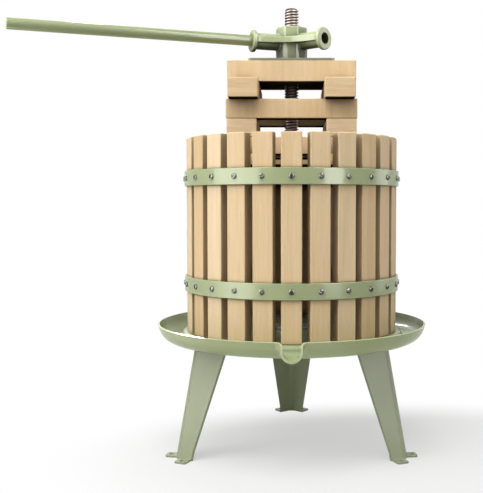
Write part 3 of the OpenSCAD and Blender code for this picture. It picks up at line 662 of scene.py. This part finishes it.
# Hoop screws: zinc-plated wood screws with a pan head and a cross recess, one through each hoop
# into each stave. Each is turned by its own amount.
def pan_head(form, place, head_r=3.8 * mm, head_h=2.3 * mm, steps=48):
    """A pan head with a cross recess and a pointed shank, facing +Z from the hoop's outside."""
    edge, dome = 1.4 * mm, 0.35 * mm
    arm_half, arm_reach, arm_side, recess = 0.65 * mm, 2.4 * mm, 0.16 * mm, 1.5 * mm
    shank_r, shank_end, point_end = 1.7 * mm, -13.3 * mm, -15 * mm
    turns = [2 * math.pi * k / steps for k in range(steps)]
    rings = [(shank_r, 0), (head_r, 0)]
    for lift in (math.radians(degrees) for degrees in (0, 30, 60, 90)):
        rings.append((head_r - edge * (1 - math.cos(lift)),
                      head_h - dome - edge * (1 - math.sin(lift))))
    crown = [2.3, 2.1, 1.9, 1.7, 1.45, 1.25, 1.05, 0.85, 0.68, 0.54, 0.42, 0.28, 0.14]
    rings += [(r * mm, None) for r in crown]
    loops = []
    for r, z in rings:
        loop = []
        for turn in turns:
            x, y, height = r * math.cos(turn), r * math.sin(turn), z
            if z is None:
                short, long = sorted((abs(x), abs(y)))
                inside = min(1, max(0, (arm_half - short) / arm_side + 0.5)) * (long < arm_reach)
                height = head_h - dome * (r / (head_r - edge)) ** 2
                height -= recess * inside * (1 - 0.5 * long / arm_reach)
            loop.append(form.verts.new(place @ Vector((x, y, height))))
        loops.append(loop)
    for one, two in zip(loops, loops[1:]):
        for k in range(steps):
            form.faces.new((one[k - 1], one[k], two[k], two[k - 1]))
    form.faces.new(loops[-1])
    tip = [form.verts.new(place @ Vector((shank_r * math.cos(t), shank_r * math.sin(t), shank_end)))
           for t in turns]
    point = form.verts.new(place @ Vector((0, 0, point_end)))
    for k in range(steps):
        form.faces.new((tip[k - 1], tip[k], loops[0][k], loops[0][k - 1]))
        form.faces.new((point, tip[k], tip[k - 1]))


# Shade is painted into the cross recesses of the heads.
screw_zinc = plated("screw_zinc", (98, 98, 91), (60, 60, 54), 0.2, 500, 3 * mm)
for name, node, hoop in (("lower_hoop_screws", "hoop_screws_lower", "hoop_lower"),
                         ("upper_hoop_screws", "hoop_screws_upper", "hoop_upper")):
    low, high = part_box(hoop)
    front = Matrix.Translation((0, -high.y, (low.z + high.z) / 2))
    front = front @ Matrix.Rotation(math.pi / 2, 4, "X")
    form = bmesh.new()
    for i in range(stave_count):
        twist = Matrix.Rotation(wood.uniform(0, math.pi / 2), 4, "Z")
        pan_head(form, at_stave(i) @ front @ twist)
    bmesh.ops.recalc_face_normals(form, faces=form.faces)
    finished(name, form, screw_zinc, "stand", node, crease=35)


# Press discs: two half-moon boards of beech that lie on the fruit, with half a hole each for the
# screw. They lift out apart.
# Shade is painted into its corners and, nearly at full strength, onto its undersides.
board_wood = beech("board_beech", (1, 0.06, 0.06), 0, 50 * mm, (20, 15, 10), (0.95, 0.3), 0.9)
screw_hole_r = 12 * mm
for name, node, side in (("front_disc", "press_disc_front", -1),
                         ("rear_disc", "press_disc_rear", 1)):
    low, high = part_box(node)
    gap = min(abs(low.y), abs(high.y))
    disc_r = max(abs(low.y), abs(high.y))
    outer_end, hole_end = math.asin(gap / disc_r), math.asin(gap / screw_hole_r)
    arc = [(disc_r, outer_end + (math.pi - 2 * outer_end) * k / 60) for k in range(61)]
    arc += [(screw_hole_r, math.pi - hole_end - (math.pi - 2 * hole_end) * k / 16)
            for k in range(17)]
    rings = [[(r * math.cos(t), side * r * math.sin(t), z) for r, t in arc]
             for z in (low.z, high.z)]
    form = lofted(bmesh.new(), rings)
    bmesh.ops.recalc_face_normals(form, faces=form.faces)
    disc = finished(name, form, board_wood, "press_stack", node)
    rounded(toned(disc, wood.random()), 1.2 * mm)


# Press blocks: loose lengths of planed beech, laid crosswise tier on tier: a pair of blocks that
# run front to back, a pair of boards that run left to right, and so on up to one wide top beam.
# Both have shade painted into their corners and onto their undersides.
beam_wood = beech("beam_beech", (1, 0.06, 0.06), 0, 75 * mm, (20, 15, 10), (0.8, 0.25), 0.9)
block_wood = beech("block_beech", (0.05, 0.05, 1), 0, 22 * mm, (20, 15, 10), (0.8, 0.3), 0.98,
                   light=(247, 223, 186), dark=(210, 176, 128))


def plank(name, node, material, tone):
    """One block or board as large as its CAD node."""
    low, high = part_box(node)
    form = block_form(high - low)
    form.transform(Matrix.Translation((low + high) / 2))
    piece = finished(name, form, material, "press_stack", node)
    return rounded(toned(piece, tone), 1.5 * mm)


# The middle blocks get the lightest tone, painted light that makes up for the light the basket keeps
# from them.
for tier, tones in (("lower", (0.7, 0.4)), ("middle", (1, 1)), ("upper", (0.5, 0.6))):
    for side, tone in zip(("left", "right"), tones):
        plank(f"{tier}_{side}_block", f"{tier}_block_{side}", block_wood, tone)
for tier, tones in (("lower", (0.6, 0.2)), ("middle", (0.3, 0.7))):
    for side, tone in zip(("front", "rear"), tones):
        plank(f"{tier}_{side}_board", f"{tier}_board_{side}", board_wood, tone)


def drilled(low, high, hole_r, corner_r=0):
    """A block or plate with a round hole down its middle, its upright corners rounded."""
    half = (high - low) / 2
    outline = []
    flat_x, flat_y = half.x - corner_r, half.y - corner_r
    round_steps = range(7 if corner_r else 1)
    for corner, (x, y) in enumerate(((1, 1), (-1, 1), (-1, -1), (1, -1))):
        turns = [math.pi / 2 * (corner + k / 6) for k in round_steps]
        outline += [Vector((x * flat_x + corner_r * math.cos(t),
                            y * flat_y + corner_r * math.sin(t))) for t in turns]
        next_turn = math.pi / 2 * (corner + 1)
        begin = outline[-1]
        end = Vector((-y * flat_x + corner_r * math.cos(next_turn),
                      x * flat_y + corner_r * math.sin(next_turn)))
        outline += [begin.lerp(end, k / 12) for k in range(1, 12)]
    hole = [hole_r * point.normalized() for point in outline]
    rings = [[(p.x, p.y, z) for p in line] for line, z in
             ((hole, low.z), (outline, low.z), (outline, high.z), (hole, high.z))]
    form = lofted(bmesh.new(), rings, True)
    bmesh.ops.recalc_face_normals(form, faces=form.faces)
    return form


beam_form = drilled(*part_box("top_beam"), screw_hole_r)
beam = finished("top_beam_piece", beam_form, beam_wood, "press_stack", "top_beam")
rounded(toned(beam, 0.6), 1.1 * mm)


# Pressure plate: a rectangle of 3.2 mm steel between the nut and the top beam, painted. It has
# rounded corners and a hole for the screw.
plate_hole_r, plate_corner_r = 10.6 * mm, 4 * mm
plate_form = drilled(*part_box("pressure_plate"), plate_hole_r, plate_corner_r)
plate_paint = gloss_paint("plate_paint", 300, 0.03 * mm, (140, 140, 114), (128, 127, 102))
plate = finished("steel_plate", plate_form, plate_paint, "press_stack", "pressure_plate")
rounded(plate, 0.4 * mm, 2)


# Press nut: one iron casting with an eight-sided hub and collar, two sockets for the bar and a web
# between them, every edge soft from the mould, and painted. The bore and the sockets are machined.
def cast(form, grain, softness):
    """Fuses overlapping forms into one casting with soft edges and filled corners."""
    mesh = bpy.data.meshes.new("pattern")
    form.to_mesh(mesh)
    form.free()
    pattern = bpy.data.objects.new("pattern", mesh)
    bpy.context.scene.collection.objects.link(pattern)
    remesh = pattern.modifiers.new("fused", "REMESH")
    remesh.mode = "VOXEL"
    remesh.voxel_size = grain
    smooth = pattern.modifiers.new("soft", "SMOOTH")
    smooth.factor = 0.5
    smooth.iterations = softness
    return pattern


def machined(pattern, *cutters):
    """Cuts each form out of a casting and gives the form that is left."""
    tools = []
    for cutter in cutters:
        mesh = bpy.data.meshes.new("cutter")
        cutter.to_mesh(mesh)
        cutter.free()
        tools.append(bpy.data.objects.new("cutter", mesh))
        bpy.context.scene.collection.objects.link(tools[-1])
        cut = pattern.modifiers.new("cut", "BOOLEAN")
        cut.operation = "DIFFERENCE"
        cut.solver = "EXACT"
        cut.object = tools[-1]
    graph = bpy.context.evaluated_depsgraph_get()
    form = bmesh.new()
    form.from_mesh(pattern.evaluated_get(graph).to_mesh())
    for thing in (pattern, *tools):
        mesh = thing.data
        bpy.data.objects.remove(thing)
        bpy.data.meshes.remove(mesh)
    return form


nut_low, nut_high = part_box("press_nut")
socket_z = nut_low.z + 27.8 * mm
socket_turns = [math.radians(200.5), math.radians(319.5)]
bore_r, cutter_past = 10.06 * mm, 5 * mm


def soft_octagon(across, corner_share):
    """The radius of an eight-sided outline. It is so many millimetres across its flats, and its
    corners reach a share of half of that."""
    return many_sided(across * mm, 8, corner_share * across / 2 * mm)


def along_socket(turn):
    """Places what is drawn up the Z axis along a socket."""
    at_height = Matrix.Translation((0, 0, socket_z)) @ Matrix.Rotation(turn, 4, "Z")
    return at_height @ Matrix.Rotation(math.pi / 2, 4, "Y")


def rod_rings(profile, place, steps=64):
    """Rings along a rod, from pairs of a radius and a place along it in millimetres."""
    return [[place @ Vector(point) for point in ring_of(r * mm, z * mm, steps)] for r, z in profile]


casting = bmesh.new()
hub = ((43.5, 0), (46, 25))
waist_r, waist = 21 * mm, (22, 39)
collar_down = ((44, 17), (44, 1.2), (41.6, 0))
barrel = ((11.6, 0), (11.6, 58))
mouth_collar = ((14.6, 55.3), (15.6, 56.3), (15.6, 60), (14.6, 61))
socket_hole = ((8, 25), (8, 66))
lofted(casting, [ring_of(soft_octagon(across, 1.03), nut_low.z + z * mm, 128) for across, z in hub])
lofted(casting, [ring_of(waist_r, nut_low.z + z * mm) for z in waist])
lofted(casting, [ring_of(soft_octagon(across, 1.055), nut_high.z - z * mm, 128)
                 for across, z in collar_down])
for turn in socket_turns:
    lofted(casting, rod_rings(barrel, along_socket(turn)))
    lofted(casting, rod_rings(mouth_collar, along_socket(turn)))

# The web lies between the sockets. Its outer edge is one hollow curve that runs into their sides.
web_side, web_reach, web_levels = 14 * mm, 29 * mm, (24.5, 33)
spread = (socket_turns[1] - socket_turns[0]) / 2
middle = (socket_turns[1] + socket_turns[0]) / 2
web_curve = (web_reach - web_side / math.sin(spread)) / (1 / math.sin(spread) - 1)
web_centre = (web_side + web_curve) / math.sin(spread)
web_end = (web_side + web_curve) / math.tan(spread)
edge_turn = math.pi / 2 - spread
web_outline = [(0, 0), (web_end * math.cos(spread), -web_end * math.sin(spread))]
web_outline += [(web_centre - web_curve * math.cos(t), web_curve * math.sin(t))
                for t in (edge_turn * (k / 16 - 1) for k in range(33))]
web_outline += [(web_end * math.cos(spread), web_end * math.sin(spread))]
turned = Matrix.Rotation(middle, 4, "Z")
lofted(casting, [[turned @ Vector((x, y, nut_low.z + z * mm)) for x, y in web_outline]
                 for z in web_levels])
bmesh.ops.recalc_face_normals(casting, faces=casting.faces)

bore_ends = (nut_low.z - cutter_past, nut_high.z + cutter_past)
bore = lofted(bmesh.new(), [ring_of(bore_r, z, 128) for z in bore_ends])
sockets = [lofted(bmesh.new(), rod_rings(socket_hole, along_socket(turn))) for turn in socket_turns]
nut_form = machined(cast(casting, 0.6 * mm, 3), bore, *sockets)
# Shade is painted into the casting's corners, under its web and into its bore and sockets.
casting_paint = gloss_paint("casting_paint", 260, 0.05 * mm, (184, 194, 150), (172, 182, 138),
                            corner_reach=45 * mm, painted_shade_colour=(62, 64, 48))
finished("socketed_press_nut", nut_form, casting_paint, "press_nut", "press_nut", crease=40)


# Press bar: a plain steel rod of 15 mm, painted, that slides into either socket of the nut. Its
# ends are chamfered.
bar_profile = [(6.3, 25.5), (7.2, 25.9), (7.5, 26.7), (7.5, 150), (7.5, 270),
               (7.5, 386.6), (7.2, 387.6), (6.3, 388)]
bar_paint = gloss_paint("bar_paint", 300, 0.03 * mm, (152, 162, 118), (142, 152, 108))
bar_form = lofted(bmesh.new(), rod_rings(bar_profile, along_socket(socket_turns[0]), 72))
finished("press_bar", bar_form, bar_paint, "handle_bar", "handle_bar", crease=40)

low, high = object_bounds()
